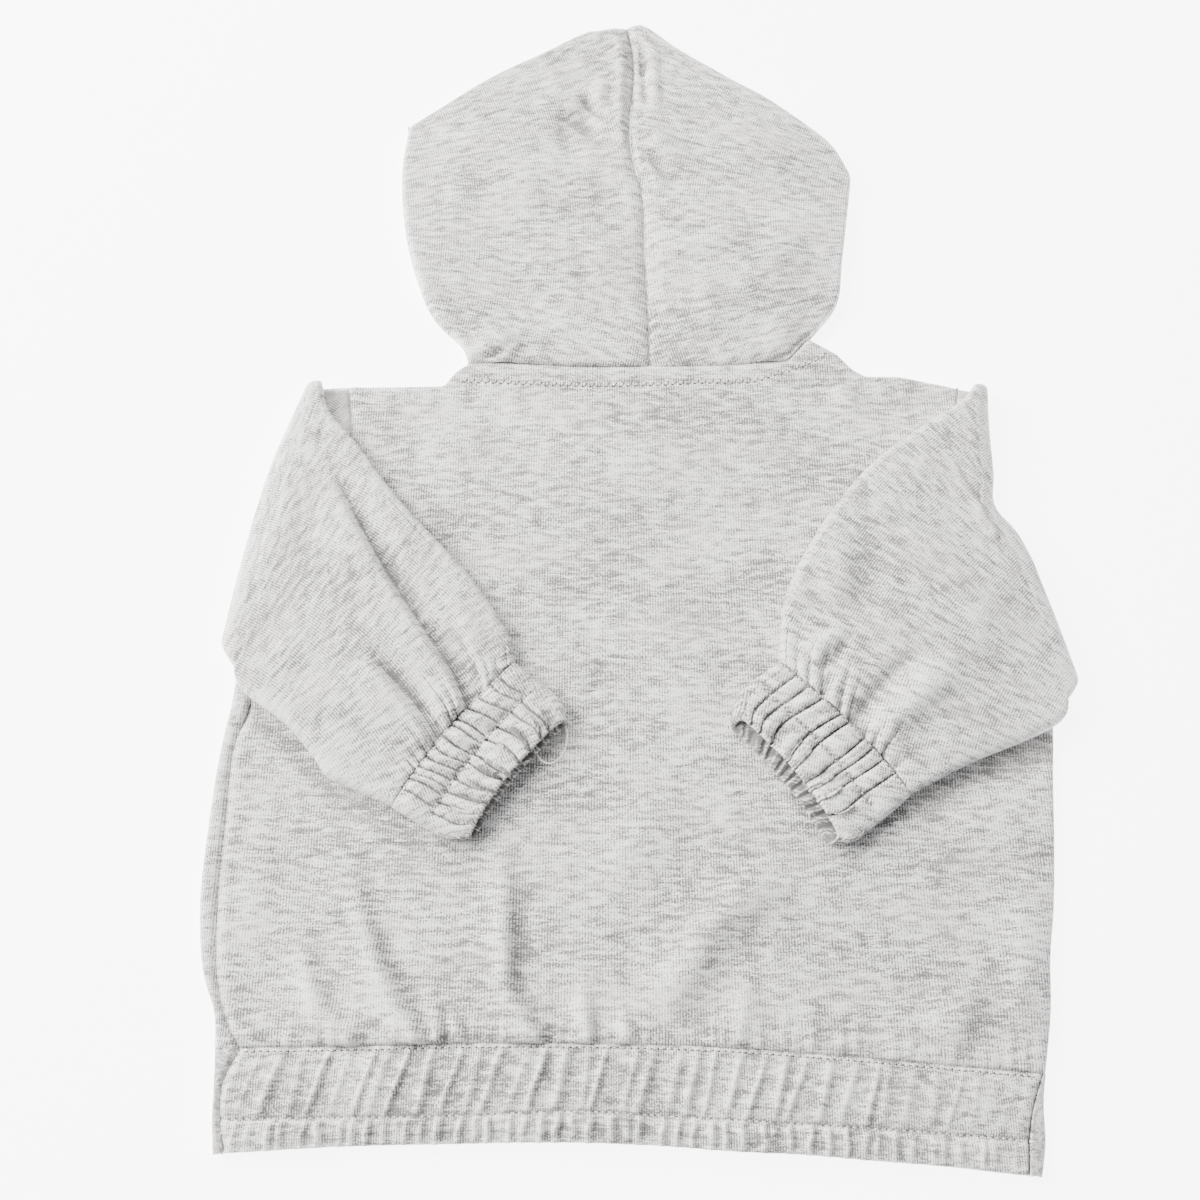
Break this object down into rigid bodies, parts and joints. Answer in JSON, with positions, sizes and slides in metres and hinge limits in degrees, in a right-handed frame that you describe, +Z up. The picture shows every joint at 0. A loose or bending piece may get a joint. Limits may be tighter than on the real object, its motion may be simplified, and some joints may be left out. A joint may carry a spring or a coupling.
{
  "type": "toddler hoodie",
  "caption": "Hooded fleece sweatshirt for a toddler, laid face down with its sleeves folded over the back, gathered cuffs and waistband.",
  "frame": {"origin": "on the surface that the garment lies on, under the middle of its outline", "axes": "+X to the right as seen from above with the hood away, +Y from the waistband to the hood, +Z up from the surface"},
  "size_m": [0.3562, 0.5366, 0.0148],
  "materials": {
    "fleece": "heathered oatmeal fleece knit, matt",
    "band_fleece": "the same heathered fleece gathered over elastic, with rows of stitching, matt"
  },
  "bodies": {
    "root": {"front_panel": "fleece", "back_panel": "fleece", "waistband_front": "band_fleece", "waistband_back": "band_fleece", "sleeve_left": "fleece", "sleeve_right": "fleece", "cuff_left": "band_fleece", "cuff_right": "band_fleece", "hood_left": "fleece", "hood_right": "fleece"}
  },
  "joints": []
}
